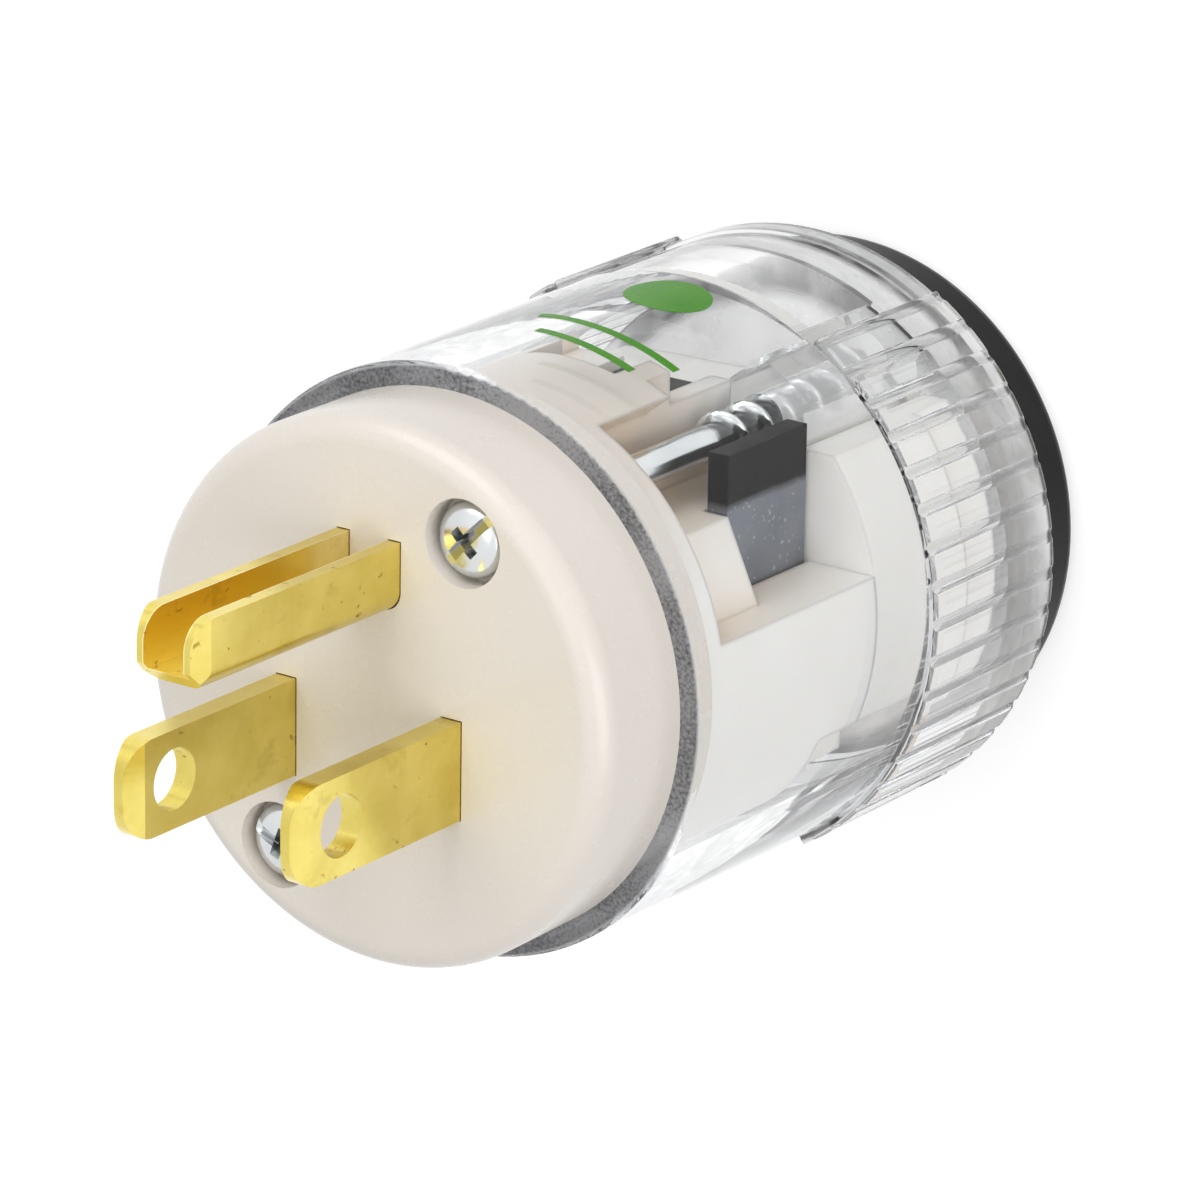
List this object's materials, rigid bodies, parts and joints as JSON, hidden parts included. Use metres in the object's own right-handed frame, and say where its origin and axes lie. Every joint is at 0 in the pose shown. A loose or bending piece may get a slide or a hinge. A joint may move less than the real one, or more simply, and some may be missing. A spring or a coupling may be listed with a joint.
{
  "type": "type b plug",
  "caption": "Grounded straight-blade cord plug with a clear grooved housing, ivory front face, brass blades and ground pin, white terminal body and black rear cap",
  "frame": {"origin": "centre of the rear face of the rear cap, on the plug axis", "axes": "+Z along the plug axis from the rear cap to the blade tips, +Y towards the ground pin, +X towards the hot blade"},
  "size_m": [0.0398, 0.0388, 0.0725],
  "materials": {
    "ivory_nylon": "smooth moulded, slightly milky",
    "clear_polycarbonate": "clear, polished mould",
    "white_nylon": "smooth moulded",
    "brass_blade": "satin rolled strip",
    "brass_screw": "turned",
    "dark_steel": "dark oxide",
    "zinc_steel": "zinc plated",
    "green_finish": "green colour on the ground screw and the print",
    "black_nylon": "gloss moulded",
    "black_rubber": "soft moulded"
  },
  "bodies": {
    "root": {"front_face": "ivory_nylon", "clear_housing": "clear_polycarbonate", "terminal_body": "white_nylon", "wire_guide": "white_nylon", "hot_blade": "brass_blade", "neutral_blade": "brass_blade", "ground_pin": "brass_blade", "hot_clamp": "dark_steel", "neutral_clamp": "dark_steel", "ground_clamp": "dark_steel", "hot_terminal_screw": "brass_screw", "neutral_terminal_screw": "zinc_steel", "ground_terminal_screw": "green_finish", "assembly_screws": "zinc_steel", "rear_cap": "black_nylon", "cord_seal": "black_rubber", "seal_washer": "black_nylon", "cord_clamp_upper": "white_nylon", "cord_clamp_lower": "white_nylon", "clamp_screws": "zinc_steel"}
  },
  "joints": []
}
